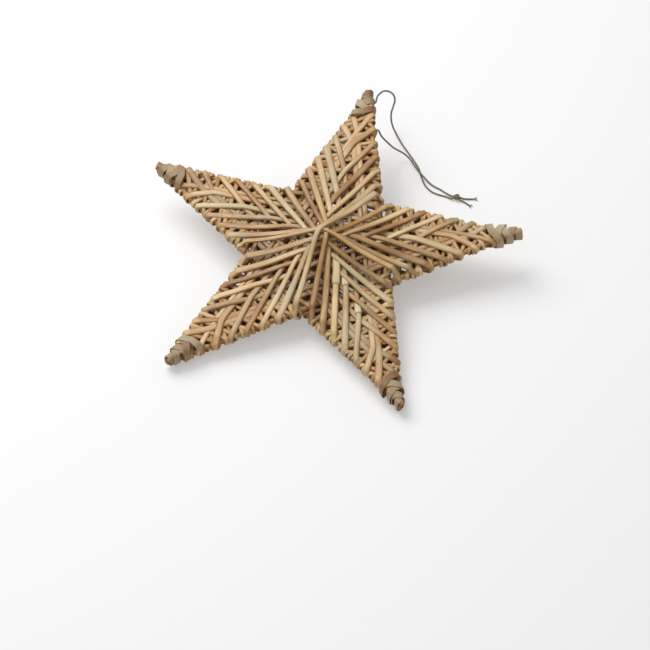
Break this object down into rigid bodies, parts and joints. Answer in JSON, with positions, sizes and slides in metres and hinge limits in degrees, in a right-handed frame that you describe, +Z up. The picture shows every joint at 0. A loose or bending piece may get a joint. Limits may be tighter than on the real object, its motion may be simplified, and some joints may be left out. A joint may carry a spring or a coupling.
{
  "type": "woven star ornament",
  "caption": "Five-pointed star wound from split willow round a frame of rods, with a raised centre, strapped tips and a knotted twine loop for hanging.",
  "frame": {"origin": "on the surface that the star lies on, below the middle of the star without its twine", "axes": "+Z up; the star lies on its rear peak and the tips of its two lower arms, its face up and tipped towards -Y, its top arm towards +Y"},
  "size_m": [0.2882, 0.304, 0.0565],
  "materials": {
    "willow": "matte split willow",
    "rod": "matte peeled willow rod",
    "strap": "matte flat willow skein",
    "twine": "rough natural twine"
  },
  "bodies": {
    "root": {"frame_rod_1": "rod", "frame_rod_2": "rod", "frame_rod_3": "rod", "frame_rod_4": "rod", "frame_rod_5": "rod", "willow_turn_6_1": "willow", "willow_turn_6_2": "willow", "willow_turn_6_3": "willow", "willow_turn_6_4": "willow", "willow_turn_6_5": "willow", "willow_turn_5_1": "willow", "willow_turn_5_2": "willow", "willow_turn_5_3": "willow", "willow_turn_5_4": "willow", "willow_turn_5_5": "willow", "willow_turn_4_1": "willow", "willow_turn_4_2": "willow", "willow_turn_4_3": "willow", "willow_turn_4_4": "willow", "willow_turn_4_5": "willow", "willow_turn_3_1": "willow", "willow_turn_3_2": "willow", "willow_turn_3_3": "willow", "willow_turn_3_4": "willow", "willow_turn_3_5": "willow", "willow_turn_2_1": "willow", "willow_turn_2_2": "willow", "willow_turn_2_3": "willow", "willow_turn_2_4": "willow", "willow_turn_2_5": "willow", "willow_turn_1_1": "willow", "willow_turn_1_2": "willow", "willow_turn_1_3": "willow", "willow_turn_1_4": "willow", "willow_turn_1_5": "willow", "tip_binding_1": "strap", "tip_binding_2": "strap", "tip_binding_3": "strap", "tip_binding_4": "strap", "tip_binding_5": "strap", "twine_leg_1": "twine", "twine_leg_2": "twine", "twine_knot": "twine", "twine_tail_1": "twine", "twine_tail_2": "twine"}
  },
  "joints": []
}
